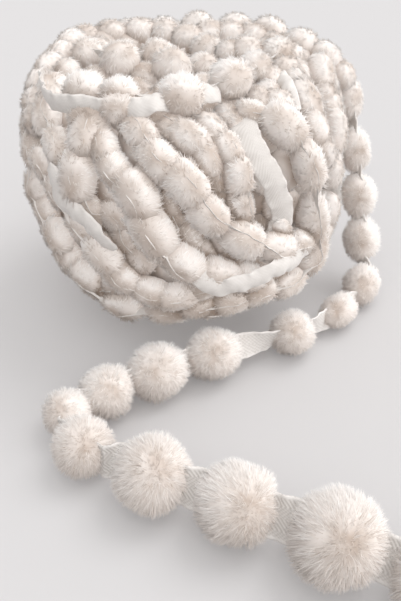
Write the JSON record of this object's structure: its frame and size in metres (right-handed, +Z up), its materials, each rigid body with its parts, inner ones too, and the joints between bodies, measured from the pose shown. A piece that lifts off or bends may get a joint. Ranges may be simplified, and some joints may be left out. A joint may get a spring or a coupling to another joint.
{
  "type": "pompom fringe trim",
  "caption": "Ball of wound pompom trim with a loose end: a woven tape through a row of plush pompoms, hanging beside the ball and laid in a long bend in front of it.",
  "frame": {"origin": "middle of the ball's flat spot, on the surface it rests on", "axes": "+Z up, -Y the front, where the loose end lies, +X the side where the loose end leaves the ball"},
  "size_m": [0.2641, 0.3901, 0.1774],
  "materials": {
    "plush": "off-white plush pile, beige at its roots",
    "tape": "white ribbed tape with corded edges"
  },
  "bodies": {
    "root": {"wound_ball": "plush", "tape_end": "tape", "pompom_01": "plush", "pompom_02": "plush", "pompom_03": "plush", "pompom_04": "plush", "pompom_05": "plush", "pompom_06": "plush", "pompom_07": "plush", "pompom_08": "plush", "pompom_09": "plush", "pompom_10": "plush", "pompom_11": "plush", "pompom_12": "plush", "pompom_13": "plush", "pompom_14": "plush", "pompom_15": "plush", "pompom_16": "plush"}
  },
  "joints": []
}
